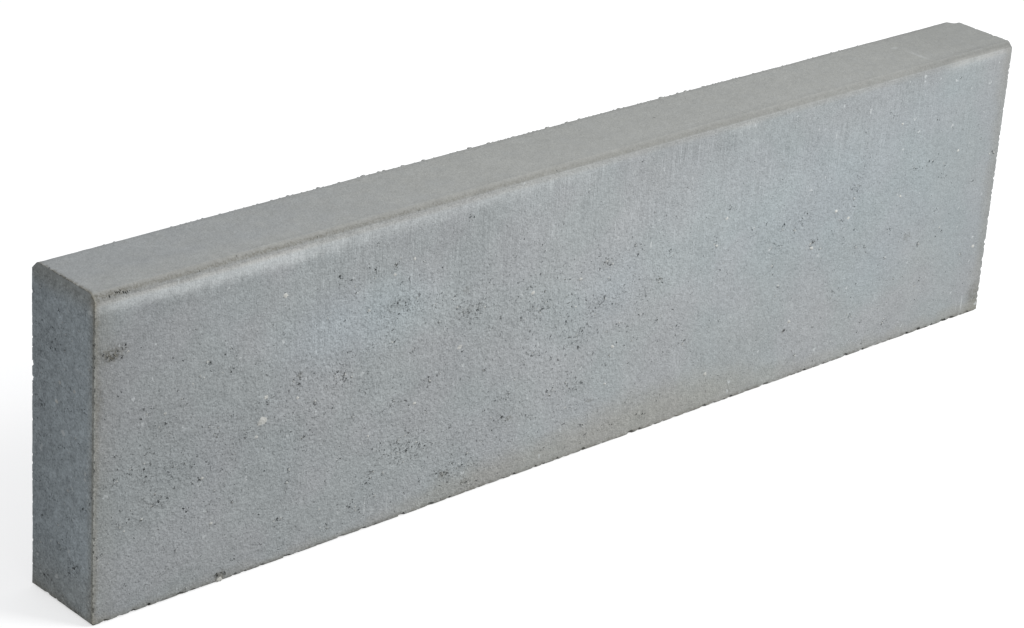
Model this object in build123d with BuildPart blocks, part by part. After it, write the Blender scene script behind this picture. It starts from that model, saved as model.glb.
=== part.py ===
from build123d import *
import os

os.makedirs("parts", exist_ok=True)

# Precast concrete edging kerb: one dry-pressed block that stands on its bed face.
# X runs along the kerb, the face that shows looks to -Y, and Z is up.
# The origin is the middle of the bed face. All lengths are in millimetres.

length = 750.0  # one unit, end face to end face
thickness = 60.0  # front face to back face
height = 200.0  # bed face to top face
top_bevel = 4.0  # leg of the 45 degree bevel along both long top edges
arris_radius = 1.5  # softening of the two arrises of each bevel
corner_radius = 2.0  # upright corners of the mould box


with BuildPart() as kerb_stone:
    # The mould box in plan: its upright corners are rounded so the block strips cleanly.
    with BuildSketch(Plane.XY) as mould_plan:
        RectangleRounded(length, thickness, corner_radius)
    extrude(amount=height)

    # The pressing head gives the section its top: flat, with a bevel on both long edges.
    # The bed face stays square, and so do the short top edges at the ends.
    with BuildSketch(Plane.YZ) as section:
        Rectangle(thickness, height, align=(Align.CENTER, Align.MIN))
        chamfer(section.vertices().group_by(Axis.Y)[-1], length=top_bevel)
        bevel_arrises = section.vertices().filter_by(lambda corner: corner.Y > 0)
        fillet(bevel_arrises, radius=arris_radius)
    extrude(amount=length / 2, both=True, mode=Mode.INTERSECT)

kerb_stone.part.label = "kerb_stone"
export_step(kerb_stone.part, "parts/kerb_stone.step")
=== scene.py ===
import math
import random

import bmesh
import bpy
import numpy as np
from mathutils import Euler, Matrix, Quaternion, Vector
from mathutils.bvhtree import BVHTree


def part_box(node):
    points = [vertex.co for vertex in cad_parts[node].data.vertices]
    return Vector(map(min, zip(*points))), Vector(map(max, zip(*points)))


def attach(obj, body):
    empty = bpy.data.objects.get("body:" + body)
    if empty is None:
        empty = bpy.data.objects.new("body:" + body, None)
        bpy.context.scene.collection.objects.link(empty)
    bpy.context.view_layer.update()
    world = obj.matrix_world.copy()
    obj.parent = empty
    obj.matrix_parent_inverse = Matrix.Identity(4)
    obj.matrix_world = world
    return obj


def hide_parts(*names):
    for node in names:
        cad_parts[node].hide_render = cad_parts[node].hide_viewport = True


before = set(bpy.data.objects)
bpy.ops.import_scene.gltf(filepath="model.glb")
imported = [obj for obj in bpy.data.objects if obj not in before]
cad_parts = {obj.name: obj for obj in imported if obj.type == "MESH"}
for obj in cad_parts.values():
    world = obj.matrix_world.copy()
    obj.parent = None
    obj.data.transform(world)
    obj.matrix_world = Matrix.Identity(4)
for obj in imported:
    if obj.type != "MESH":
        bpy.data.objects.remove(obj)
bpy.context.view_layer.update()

mm = 0.001  # metres in a millimetre

low, high = (Vector(corner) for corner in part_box("kerb_stone"))
size = high - low
longSide, deepSide, tallSide = (round(side / mm) for side in size)  # in millimetres
nearEnd = low.x  # the end that the camera sees
print("frame loaded, kerb box in mm", [round(side / mm, 1) for side in size])


def deselectAll():
    if bpy.context.mode != "OBJECT":
        bpy.ops.object.mode_set(mode="OBJECT")
    bpy.ops.object.select_all(action="DESELECT")


def makeActive(piece):
    deselectAll()
    piece.select_set(True)
    bpy.context.view_layer.objects.active = piece


def applyModifier(piece, name, kind, **settings):
    makeActive(piece)
    modifier = piece.modifiers.new(name, kind)
    for setting, value in settings.items():
        setattr(modifier, setting, value)
    bpy.ops.object.modifier_apply(modifier=name)


# camera
view = {
    "place": (-1.2019, -1.2108, 0.8496),
    "aim": (-0.1303, -0.0875, 0.1485),
    "roll": 4.03,  # degrees
    "lens": 106.11,
    "sensor": 36.0,
    "clipStart": 0.01,
}


def addCamera():
    lookAlong = Vector(view["aim"]) - Vector(view["place"])
    turn = lookAlong.to_track_quat("-Z", "Y") @ Quaternion((0, 0, 1), math.radians(view["roll"]))
    bpy.ops.object.camera_add(location=view["place"], rotation=turn.to_euler())
    camera = bpy.context.object
    camera.name = "photo_camera"
    camera.data.sensor_width = view["sensor"]
    camera.data.lens = view["lens"]
    camera.data.clip_start = view["clipStart"]
    bpy.context.scene.camera = camera


addCamera()
print("camera set")


# small helpers for shader nodes
class NodeDesk:
    def __init__(self, tree):
        self.tree = tree

    def add(self, kind, inputs=None, **settings):
        node = self.tree.nodes.new(kind)
        for setting, value in settings.items():
            setattr(node, setting, value)
        for socket, value in (inputs or {}).items():
            self.feed(node.inputs[socket], value)
        return node

    def feed(self, socket, value):
        if hasattr(value, "is_output"):
            self.tree.links.new(value, socket)
        else:
            socket.default_value = value

    def math(self, operation, a, b=0.0, c=0.0, clamp=False):
        node = self.add("ShaderNodeMath", {0: a, 1: b, 2: c}, operation=operation, use_clamp=clamp)
        return node.outputs[0]

    def ramp(self, value, start, end, low=0.0, high=1.0):  # smooth step from start to end
        node = self.add("ShaderNodeMapRange", {0: value, 1: start, 2: end, 3: low, 4: high},
                        interpolation_type="SMOOTHSTEP", clamp=True)
        return node.outputs[0]

    def stretch(self, vector, scale, offset=(0.0, 0.0, 0.0)):
        node = self.add("ShaderNodeMapping", {"Vector": vector, "Scale": scale, "Location": offset})
        return node.outputs[0]

    def noise(self, vector, scale, detail=2.0, rough=0.5):
        node = self.add("ShaderNodeTexNoise", {"Vector": vector, "Scale": scale, "Detail": detail,
                                               "Roughness": rough})
        return node.outputs["Fac"]

    def mixColour(self, share, a, b):
        node = self.add("ShaderNodeMix", {0: share, 6: a, 7: b}, data_type="RGBA")
        return node.outputs[2]

    def scaleColour(self, colour, value):
        node = self.add("ShaderNodeVectorMath", {0: colour, 3: value}, operation="SCALE")
        return node.outputs[0]


def newMaterial(name):
    material = bpy.data.materials.new(name)
    material.use_nodes = True
    material.node_tree.nodes.clear()
    return material, NodeDesk(material.node_tree)


# floor, backdrop and lights
stage = {
    "floorSize": 30.0,
    "floorShade": (0.5, 0.5, 0.5, 1.0),  # what the floor sends back to the kerb
    "floorPaper": (0.62, 0.62, 0.62, 1.0),  # what the camera sees of it, with the shadow
    "floorGlow": 0.58,
    "worldGrey": (0.55, 0.555, 0.568, 1.0),
    "backdrop": (1.0, 1.0, 1.0, 1.0),
    "keyPlace": (0.86, -1.18, 1.12),
    "keyAim": (0.02, 0.0, 0.1),
    "keySize": 0.9,
    "keyPower": 27.0,
}


def addFloor():
    deselectAll()
    bpy.ops.mesh.primitive_plane_add(size=stage["floorSize"], location=(0, 0, 0))
    floor = bpy.context.object
    floor.name = "studio_floor"
    material, desk = newMaterial("studio_floor")
    camera = desk.add("ShaderNodeLightPath").outputs["Is Camera Ray"]
    bounce = desk.add("ShaderNodeBsdfDiffuse", {"Color": stage["floorShade"]})
    paper = desk.add("ShaderNodeBsdfDiffuse", {"Color": stage["floorPaper"]})
    glow = desk.add("ShaderNodeEmission", {"Strength": stage["floorGlow"]})
    seen = desk.add("ShaderNodeAddShader", {0: paper.outputs[0], 1: glow.outputs[0]})
    choice = desk.add("ShaderNodeMixShader", {0: camera, 1: bounce.outputs[0], 2: seen.outputs[0]})
    desk.add("ShaderNodeOutputMaterial", {"Surface": choice.outputs[0]})
    floor.data.materials.append(material)


def addWorld():
    world = bpy.data.worlds.new("studio_world")
    world.use_nodes = True
    world.node_tree.nodes.clear()
    desk = NodeDesk(world.node_tree)
    camera = desk.add("ShaderNodeLightPath").outputs["Is Camera Ray"]
    fill = desk.add("ShaderNodeBackground", {"Color": stage["worldGrey"], "Strength": 1.0})
    white = desk.add("ShaderNodeBackground", {"Color": stage["backdrop"], "Strength": 1.0})
    choice = desk.add("ShaderNodeMixShader", {0: camera, 1: fill.outputs[0], 2: white.outputs[0]})
    desk.add("ShaderNodeOutputWorld", {"Surface": choice.outputs[0]})
    bpy.context.scene.world = world


def addKeyLight():
    aim = Vector(stage["keyAim"]) - Vector(stage["keyPlace"])
    deselectAll()
    bpy.ops.object.light_add(type="AREA", location=stage["keyPlace"],
                             rotation=aim.to_track_quat("-Z", "Y").to_euler())
    key = bpy.context.object
    key.name = "key_softbox"
    key.data.shape = "SQUARE"
    key.data.size = stage["keySize"]
    key.data.energy = stage["keyPower"]


addFloor()
addWorld()
addKeyLight()
bpy.context.scene.view_settings.view_transform = "Standard"
print("floor and lights set")


# the kerb's own shape
kerb = {
    "skin": 0.6 * mm,  # how far the faces lie inside the CAD faces, room for grit
    "frontBevel": 4.0 * mm,
    "backBevel": 5.2 * mm,
    "shoulder": 3.6 * mm,  # radius from the top into the bevel
    "lowerArris": 0.8 * mm,  # radius from the bevel into the side
    "footBevel": 1.3 * mm,
    "corner": 1.4 * mm,
    "cornerSteps": 3,
    "bevelLeans": (45.0, 56.0, 67.5, 79.0, 22.5),  # the bevel, then its roundings, in degrees
    "grid": 5.0 * mm,
    "merge": 0.02 * mm,
    "facing": 0.3,  # least turn to the camera of a face with the finer grid
    "wave": 0.5 * mm,
    "waveLength": 55.0 * mm,
    "rough": 0.3 * mm,
    "roughLength": 6.0 * mm,
    "octaves": 2,
    "smoothAngle": 38.0,
}
skinLow = low + Vector((kerb["skin"], kerb["skin"], 0.0))
skinHigh = high - Vector((kerb["skin"], kerb["skin"], kerb["skin"]))
bevelLean = kerb["bevelLeans"][0]
halfTurn = math.tan(math.radians(bevelLean / 2))


def bisectAll(place, normal, trim=False):
    bpy.ops.mesh.select_all(action="SELECT")
    bpy.ops.mesh.bisect(plane_co=place, plane_no=normal, use_fill=trim, clear_outer=trim)


def selectFaces(piece, test):
    cage = bmesh.from_edit_mesh(piece.data)
    for face in cage.faces:
        face.select_set(test(face.normal))
    cage.select_flush_mode()
    bmesh.update_edit_mesh(piece.data)


def cutBevel(edgeY, side, leg):  # a 45 degree bevel, rounded into the top and into the side
    shoulder, arris = kerb["shoulder"], kerb["lowerArris"]
    corner = Vector((0.0, edgeY, skinHigh.z))
    for lean in kerb["bevelLeans"]:
        rise, run = math.sin(math.radians(lean)), math.cos(math.radians(lean))
        if lean < bevelLean:
            depth = rise * (leg + arris * halfTurn) - arris * (1.0 - run)
        else:
            depth = run * (leg + shoulder * halfTurn) - shoulder * (1.0 - rise)
        normal = Vector((0.0, side * run, rise))
        bisectAll(corner - normal * depth, normal, trim=True)


def cutFoot():  # worn edges round the bed
    for side in (-1.0, 1.0):
        for along, across in ((side, 0.0), (0.0, side)):
            edge = Vector((skinHigh.x * along, skinHigh.y * across, 0.0))
            normal = Vector((along, across, -1.0)).normalized()
            bisectAll(edge - normal * kerb["footBevel"] * math.sqrt(0.5), normal, trim=True)


def addBlock():
    deselectAll()
    bpy.ops.mesh.primitive_cube_add(size=1.0, location=(skinLow + skinHigh) / 2)
    block = bpy.context.object
    block.name = "kerb_concrete"
    bpy.ops.transform.resize(value=skinHigh - skinLow)
    bpy.ops.object.transform_apply(location=True, rotation=True, scale=True)
    bpy.ops.object.mode_set(mode="EDIT")
    # round the upright corners, then cut the bevels along the top
    bpy.ops.mesh.select_all(action="DESELECT")
    cage = bmesh.from_edit_mesh(block.data)
    for edge in cage.edges:
        first, second = edge.verts
        edge.select_set(abs(first.co.z - second.co.z) > size.z / 2)
    bmesh.update_edit_mesh(block.data)
    bpy.ops.mesh.bevel(offset=kerb["corner"], segments=kerb["cornerSteps"], affect="EDGES")
    cutBevel(skinLow.y, -1.0, kerb["frontBevel"])
    cutBevel(skinHigh.y, 1.0, kerb["backBevel"])
    cutFoot()
    # an even grid over every face
    for axis in range(3):
        start, end = skinLow[axis], skinHigh[axis]
        count = round((end - start) / kerb["grid"])
        normal = Vector([float(other == axis) for other in range(3)])
        for line in range(1, count):
            bisectAll(normal * (start + (end - start) * line / count), normal)
    # twice as fine where the camera looks
    selectFaces(block, lambda normal: min(normal.x, normal.y) < -kerb["facing"])
    bpy.ops.mesh.subdivide(number_cuts=1)
    bpy.ops.mesh.select_all(action="SELECT")
    bpy.ops.mesh.remove_doubles(threshold=kerb["merge"])
    bpy.ops.object.mode_set(mode="OBJECT")
    return block


def roughen(block):
    for name, depth, length in (("wave", kerb["wave"], kerb["waveLength"]),
                                ("rough", kerb["rough"], kerb["roughLength"])):
        clouds = bpy.data.textures.new(name, "CLOUDS")
        clouds.noise_scale = length
        clouds.noise_depth = kerb["octaves"]
        applyModifier(block, name, "DISPLACE", texture=clouds, texture_coords="LOCAL",
                      direction="NORMAL", mid_level=1.0, strength=depth)


block = addBlock()
roughen(block)
# where the rough faces really are
surface = BVHTree.FromObject(block, bpy.context.evaluated_depsgraph_get())
print("block cut and roughened, faces", len(block.data.polygons))

# how much of each face may carry pits and stones, in millimetres
pitArea = {"side": (longSide, 194), "end": (deepSide, 196), "top": (longSide, 52)}
rayHeight = 5.0  # start of a ray above a face, in millimetres

# the faces by name: a corner of each, its two directions, its outward normal and its area for pits
xDir, yDir, zDir = Vector((1, 0, 0)), Vector((0, 1, 0)), Vector((0, 0, 1))
faces = {
    "front": (Vector((nearEnd, skinLow.y, 0)), xDir, zDir, -yDir, pitArea["side"]),
    "back": (Vector((nearEnd, skinHigh.y, 0)), xDir, zDir, yDir, pitArea["side"]),
    "near": (Vector((skinLow.x, low.y, 0)), yDir, zDir, -xDir, pitArea["end"]),
    "far": (Vector((skinHigh.x, low.y, 0)), yDir, zDir, xDir, pitArea["end"]),
    "top": (Vector((nearEnd, low.y, skinHigh.z)), xDir, yDir, zDir, pitArea["top"]),
}


# small ragged blobs, joined in one mesh, to cut pits and chips or to add grit
def blobSeed(fineness):
    deselectAll()
    bpy.ops.mesh.primitive_ico_sphere_add(subdivisions=fineness, radius=1.0)
    seed = bpy.context.object
    points = np.array([vertex.co for vertex in seed.data.vertices])
    sides = np.array([polygon.vertices for polygon in seed.data.polygons])
    bpy.ops.object.delete()
    return points, sides


blobSeeds = {fineness: blobSeed(fineness) for fineness in (1, 2, 3)}


def blobFineness(radius, limit=1.0):  # larger blobs get more faces
    return 2 if radius > limit else 1


class BlobCloud:  # blobs that keep clear of one another, with a tone on their faces
    def __init__(self, name, attribute, rng):
        self.name, self.attribute, self.rng = name, attribute, rng
        self.points, self.sides, self.tones, self.count = [], [], [], 0
        self.centres, self.reaches = [], []

    def add(self, place, radii, tone, fineness=2, lump=0.25):  # place and radii in metres
        place, radii = np.array(place), np.array(radii)
        reach = radii.max() * (1.0 + lump)
        if self.centres:
            gaps = np.linalg.norm(np.array(self.centres) - place, axis=1) - np.array(self.reaches) - reach
            if gaps.min() < 0.0:
                return False
        points, sides = blobSeeds[fineness]
        spin = np.array(Euler([self.rng.uniform(0, math.tau) for _ in range(3)]).to_matrix())
        swell = np.array([1.0 + lump * self.rng.uniform(-1, 1) for _ in points])[:, None]
        self.points.append((points @ spin.T) * swell * radii + place)
        self.sides.append(sides + self.count)
        self.tones += [tone] * len(sides)
        self.count += len(points)
        self.centres.append(place)
        self.reaches.append(reach)
        return True

    # u, v and sizes are millimetres on a face, and lift is a share of the depth
    def addOnFace(self, face, u, v, across, tall, depth, lift, tone, **settings):
        corner, uDir, vDir, normal, _ = faces[face]
        above = corner + (uDir * u + vDir * v + normal * rayHeight) * mm
        place = surface.ray_cast(above, -normal)[0]
        if place is None:
            return False
        place = place + normal * depth * lift * mm
        radii = [(abs(uDir[axis]) * across + abs(vDir[axis]) * tall + abs(normal[axis]) * depth) * mm
                 for axis in range(3)]
        return self.add(place, radii, tone, **settings)

    def joinTo(self, piece, operation):
        mesh = bpy.data.meshes.new(self.name)
        mesh.from_pydata(np.concatenate(self.points).tolist(), [], np.concatenate(self.sides).tolist())
        mesh.attributes.new(self.attribute, "FLOAT", "FACE").data.foreach_set("value", self.tones)
        cloud = bpy.data.objects.new(self.name, mesh)
        bpy.context.collection.objects.link(cloud)
        applyModifier(piece, self.name, "BOOLEAN", object=cloud, operation=operation, solver="MANIFOLD")
        bpy.data.objects.remove(cloud, do_unlink=True)


pits = {
    "seed": 11,
    "passes": 3,  # a ragged pit is up to this many blobs, each cut in a pass of its own
    "count": {"front": 320, "back": 80, "near": 40, "far": 24, "top": 10},
    "smallest": 0.4,
    "largest": 1.0,
    # grains with a crevice round part of them
    "crevices": {"front": 100, "back": 24, "near": 20, "far": 8},
    "grainRadius": (0.7, 1.9),
    "crevicePit": (0.4, 0.75),
    "creviceSide": 3.9,  # side of the grain that the crevice favours, in radians: the lower left, where the grain's shadow falls under the key light, so the crevice's dark tone there is painted shadow
    # (along, up, spread, weight) of the open patches on the front
    "frontPatches": [
        (212, 141, 16, 1.2), (45, 82, 30, 1.2), (160, 98, 40, 1.2), (330, 108, 45, 1.2),
        (262, 122, 14, 1.5), (225, 47, 22, 1.0), (265, 25, 20, 0.9), (400, 95, 50, 0.5),
        (540, 108, 30, 0.5), (605, 120, 16, 0.8), (330, 40, 60, 0.7), (120, 60, 60, 0.5),
    ],
    "frontBase": 0.5,
    "patchGain": 0.4,
    # (along, up, half width, half height, weight) of the pit clusters on the front
    "frontClusters": [
        (12, 162, 9, 4, 1.6), (15, 86, 5, 4, 0.9), (25, 88, 3, 3, 0.8), (34, 87, 3, 5, 1.0),
        (58, 82, 9, 5, 1.1), (43, 67, 7, 5, 1.2), (33, 57, 6, 5, 0.7), (63, 52.5, 4, 4, 1.2),
        (95, 50, 4, 3, 0.6), (22, 58, 4, 4, 0.6), (5, 42, 4, 4, 0.8), (43, 111, 5, 3, 0.8),
        (35, 122, 6, 5, 0.9), (81, 98, 6, 4, 1.1), (93, 104, 4, 2, 1.0), (104, 90, 5, 3, 1.3),
        (93, 132, 6, 3, 0.8), (76, 137, 6, 4, 0.5), (139, 113, 4, 6, 1.3), (170, 108, 8, 8, 1.2),
        (174, 104, 4, 4, 0.8), (168, 165, 9, 4, 0.7), (192, 167, 4, 3, 1.2), (207, 167, 4, 3, 1.2),
        (212, 140, 17, 6, 0.9), (190, 117, 6, 4, 0.7), (209, 118, 4, 4, 1.0), (212, 79, 9, 4, 1.1),
        (145, 78, 5, 5, 0.8), (203, 52, 4, 3, 1.2), (216, 51, 3, 3, 0.9), (232, 46, 9, 6, 1.0),
        (240, 86, 8, 4, 0.9), (241, 137, 5, 4, 0.7), (218, 43, 5, 4, 1.0), (50, 21, 5, 3, 0.7),
        (162, 12, 6, 2.5, 0.8), (182, 18, 4, 3, 1.0), (188, 15, 3, 3, 1.0), (193, 32, 4, 3, 1.2),
        (197, 38, 3, 3, 1.0), (127, 28, 4, 3, 1.2), (266, 122, 13, 5, 1.4), (253, 19, 5, 4, 1.4),
        (267, 21, 5, 3, 0.9), (310, 109, 4, 4, 1.2), (327, 110, 8, 6, 1.5), (350, 98, 5, 6, 1.0),
        (368, 100, 9, 6, 1.2), (383, 102, 11, 5, 1.1), (382, 126, 8, 4, 0.9), (405, 127, 5, 3, 0.9),
        (409, 111, 5, 2.5, 1.0), (412, 96, 6, 6, 1.0), (472, 117, 4, 5, 1.1), (358, 84, 8, 5, 1.3),
        (390, 82, 4, 3, 1.0), (406, 85, 4, 3, 0.8), (280, 81, 5, 3, 0.9), (320, 82, 8, 4, 0.8),
        (360, 49, 6, 4, 1.1), (348, 52, 5, 3, 0.7), (336, 50, 6, 3, 0.7), (353, 36, 5, 3, 1.0),
        (322, 38, 5, 3, 0.7), (298, 44, 6, 3, 1.5), (365, 19, 6, 4, 0.7), (437, 51, 6, 4, 0.9),
        (452, 54, 4, 3, 1.1), (443, 67, 5, 3, 0.9), (433, 120, 7, 5, 0.8), (302, 57, 10, 6, 0.6),
        (425, 76, 3, 3, 1.2), (425, 104, 4, 3, 1.2), (507, 118, 3, 6, 0.8), (532, 102, 7, 6, 1.2),
        (536, 112, 4, 3, 0.8), (553, 114, 5, 7, 1.1), (547, 108, 3, 3, 0.7), (605, 124, 5, 11, 1.2),
        (592, 105, 3, 3, 1.0), (567, 95, 4, 3, 1.2), (634, 170, 6, 4, 1.1), (664, 126, 5, 5, 1.0),
        (690, 118, 8, 6, 0.7), (657, 79, 7, 4, 1.0), (694, 74, 8, 3, 0.7), (592, 51, 5, 3, 0.6),
        (480, 98, 6, 4, 0.7), (407, 68, 4, 3, 0.6), (742, 122, 4, 4, 0.8), (612, 31, 4, 3, 0.6),
        (647, 17, 4, 3, 1.1), (681, 40, 4, 3, 0.7), (557, 17, 4, 3, 0.5), (679, 127, 4, 3, 0.7),
        (419, 12, 4, 3, 1.0), (393, 12, 4, 3, 0.8), (272, 8, 5, 2.5, 1.2),
    ],
    # (from the front, up, half width, half height, weight) on the near end
    "nearClusters": [
        (20, 28, 7, 6, 1.5), (46, 12, 8, 5, 1.2), (40, 160, 12, 9, 0.9), (4, 158, 4, 7, 1.2),
        (3, 79, 4, 6, 1.3), (11, 69, 5, 4, 1.0), (47, 74, 7, 4, 1.0), (38, 62, 5, 4, 0.9),
        (33, 38, 4, 6, 0.9), (50, 116, 5, 4, 0.9), (32, 98, 6, 5, 0.8), (10, 128, 5, 4, 0.8),
        (54, 40, 5, 10, 0.8), (52, 97, 6, 5, 0.8),
    ],
    "openness": {"end": 0.5, "back": 0.5, "endDepth": 2.5 * mm},
    # (along, up, radius) of single pits that stand out on the front
    "frontMarks": [
        (6.5, 163.5, 0.9), (9.2, 161.2, 1.2), (12.2, 160.6, 1.6), (14.6, 161.6, 1.5), (17.6, 163.6, 1.0),
        (20.6, 165.6, 1.1), (71.7, 69.6, 1.8), (117, 105, 1.1), (14, 101, 1.2), (24, 87.5, 1.0),
        (34, 87.5, 1.0), (52, 77.5, 1.1), (86, 71, 1.2), (63, 52.5, 1.2), (127.5, 28, 1.4), (181, 19, 1.3),
        (188, 15, 1.2), (192.5, 31, 1.4), (197.5, 37.5, 1.2), (232, 45, 1.2), (237, 43, 1.0),
        (234, 20, 1.1), (247.5, 21, 1.5), (139.5, 110, 1.3), (174, 104, 1.2), (209, 117.5, 1.3),
        (207.5, 167, 1.5), (192, 167, 1.3), (212.5, 154, 0.9), (210, 142, 1.2), (216, 139, 1.0),
        (261.7, 183, 1.2), (265, 182.5, 1.0), (281, 138.7, 1.0), (321.7, 151.7, 1.0), (262, 97.5, 1.2),
        (298, 44, 1.6), (300.5, 42.5, 1.2), (253, 20, 1.6), (256, 18.5, 1.3), (272, 8, 1.4), (268, 21, 1.1),
        (346.7, 123, 1.0), (325, 109, 1.3), (358, 75, 1.4), (360, 85, 1.2), (390, 82, 1.2), (425, 76, 1.2),
        (425, 104, 1.2), (444, 67, 1.1), (452, 54.5, 1.2), (420, 12, 1.3), (393, 12, 1.0),
        (679, 157.5, 1.2), (633, 170, 1.0), (698, 183, 1.1), (547, 37, 1.6), (604, 112, 1.0),
        (592, 105, 1.0), (662.5, 126, 1.1), (643, 87.5, 0.9), (647.5, 17, 1.4), (84.5, 5.5, 1.2),
        (88, 5.8, 1.2), (91, 5.2, 0.9), (612.5, 32, 0.9), (726, 103, 1.0), (681, 40, 1.0), (566, 95, 1.3),
        (553, 115, 1.1),
    ],
    # (from the front, up, radius) on the near end
    "nearMarks": [
        (19.3, 28.5, 2.3), (16, 31, 1.3), (34, 178, 1.3), (40, 166, 1.1), (53, 163, 1.1), (42, 153, 1.3),
        (37.5, 154, 1.4), (50, 116, 1.3), (52.7, 97, 1.2), (48.7, 74, 1.2), (44.6, 74, 1.0), (38, 63, 1.2),
        (33, 37, 1.2), (11, 69, 1.4), (3, 79, 1.3), (4.5, 77, 1.0), (2, 170, 1.2), (3, 157, 1.3),
        (44, 13, 1.6), (47.3, 11.5, 1.7), (9.5, 127, 1.1), (23, 123, 1.0), (32, 99, 1.1), (14, 107, 1.1),
    ],
    # (along, radius) of dark upright nibbles in the front bevel
    "bevelMarks": [
        (10.6, 1.2), (15.0, 0.7), (16.0, 1.1), (17.2, 0.9), (18.2, 0.7), (19.6, 1.2), (20.8, 1.0),
        (22.0, 0.8), (23.4, 0.5), (69, 0.6), (150, 0.6), (223, 0.6), (330, 0.6),
    ],
    "bevelMarkUp": 196.5,
    # openness: gain and fall of a cluster, fade above the foot, fade below the bevel, most that counts
    "clusterGain": 0.7,
    "clusterFall": 0.9,
    "footFade": 12.0,
    "topFade": (186, 40.0, 0.1),
    "openMost": 2.4,
    "margin": 3,
    # shapes of the blobs: ranges are shares of the radius unless they are tones
    "lift": 0.3,
    "lump": 0.34,
    "deeper": 0.45,
    "blobs": (1, 1, 2),
    "pit": {"step": (0.6, 1.0), "main": (0.75, 1.0), "side": (0.4, 0.7), "tall": (0.55, 1.0),
            "deep": (0.6, 0.9), "tone": (0.7, 1.0)},
    "mark": {"least": 4, "more": 3, "main": 0.8, "side": (0.4, 0.8), "spread": 1.1, "flat": 0.8,
             "tall": (0.5, 0.9), "deep": 0.7, "deeper": 0.4, "tone": (0.35, 0.8), "lump": 0.36},
    "gather": {"least": 1.2, "perArea": 0.06, "most": 7, "spread": 0.5, "crevices": 0.25,
               "radius": (0.65, 0.8, 1.6), "tone": (0.2, 0.6)},
    "crevice": {"shrink": (0.7, 1.0), "grains": 0.6, "grainShare": 0.8, "grainTone": (0.12, 0.5),
                "turn": 1.3, "sweep": (1.2, 4.2), "spacing": 0.75, "tone": (0.3, 0.8), "reach": (0.8, 1.25),
                "middle": 1.3, "taper": 0.6, "tall": (0.6, 1.0), "deep": 0.7, "fade": (0.7, 1.0)},
    "nibble": {"stray": 0.6, "across": 0.5, "tall": (0.8, 1.5), "deep": 0.8, "deeper": 0.3,
               "tone": (0.5, 0.9)},
    "frontTone": 0.9,
    "nearTone": {"small": 0.55, "large": 1.0, "largeFrom": 2},
    "sizePower": 2.2,  # small pits outnumber large ones
    "tone": (0.3, 0.8),
}


def clusterWeight(along, up, clusters):
    weight = np.zeros_like(along)
    for centreU, centreV, halfU, halfV, strength in clusters:
        reach = ((along - centreU) / halfU) ** 2 + ((up - centreV) / halfV) ** 2
        weight = weight + pits["clusterGain"] * strength * np.exp(-pits["clusterFall"] * reach)
    return weight


def patchWeight(along, up):  # how open the front's texture is
    fadeTop, fadeOver, least = pits["topFade"]
    weight = pits["frontBase"] * np.minimum(1.0, up / pits["footFade"])
    weight = weight * np.clip((fadeTop - up) / fadeOver, least, 1.0)
    for centreU, centreV, spread, strength in pits["frontPatches"]:
        reach = ((along - centreU) ** 2 + (up - centreV) ** 2) / (2 * spread ** 2)
        weight = weight + pits["patchGain"] * strength * np.exp(-reach)
    return weight + clusterWeight(along, up, pits["frontClusters"])


def addPit(clouds, rng, face, u, v, radius, tone):  # one blob, or a few side by side
    shape, blobs = pits["pit"], rng.choice(pits["blobs"])
    tone = rng.uniform(*tone)
    for cloud in clouds[:blobs]:
        first = cloud is clouds[0]
        turn = rng.uniform(0, math.tau)
        step = 0.0 if first else radius * rng.uniform(*shape["step"])
        across = radius * rng.uniform(*shape["main" if first else "side"])
        tall = across * rng.uniform(*shape["tall"])
        deep = across * rng.uniform(*shape["deep"]) + pits["deeper"]
        cloud.addOnFace(face, u + step * math.cos(turn), v + step * math.sin(turn), across, tall, deep,
                        pits["lift"], tone * rng.uniform(*shape["tone"]),
                        fineness=blobFineness(across), lump=pits["lump"])


def addMark(clouds, rng, face, u, v, radius, tone):  # one main pit with smaller ones about it
    shape = pits["mark"]
    for step in range(round(shape["least"] + shape["more"] * radius)):
        main = step == 0
        across = radius * shape["main"] if main else rng.uniform(*shape["side"])
        spread = 0.0 if main else radius * shape["spread"]
        placeU = u + rng.gauss(0, spread)
        placeV = v + rng.gauss(0, spread * shape["flat"])
        tall = across * rng.uniform(*shape["tall"])
        fade = 1.0 if main else rng.uniform(*shape["tone"])
        cloud = clouds[step % len(clouds)]
        cloud.addOnFace(face, placeU, placeV, across, tall, across * shape["deep"] + shape["deeper"],
                        pits["lift"], tone * fade, fineness=blobFineness(across), lump=shape["lump"])


def gatherPits(clouds, grains, rng, face, clusters):  # many small pits and crevices close together
    gather = pits["gather"]
    least, more, power = gather["radius"]
    for centreU, centreV, halfU, halfV, weight in clusters:
        count = round(gather["least"] + gather["perArea"] * halfU * halfV * weight)
        for _ in range(min(gather["most"], count)):
            u = rng.gauss(centreU, halfU * gather["spread"])
            v = rng.gauss(centreV, halfV * gather["spread"])
            if rng.random() < gather["crevices"]:
                addCrevice(clouds, grains, rng, face, u, v)
            else:
                radius = least + more * rng.random() ** power
                addPit(clouds, rng, face, u, v, radius, gather["tone"])


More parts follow.
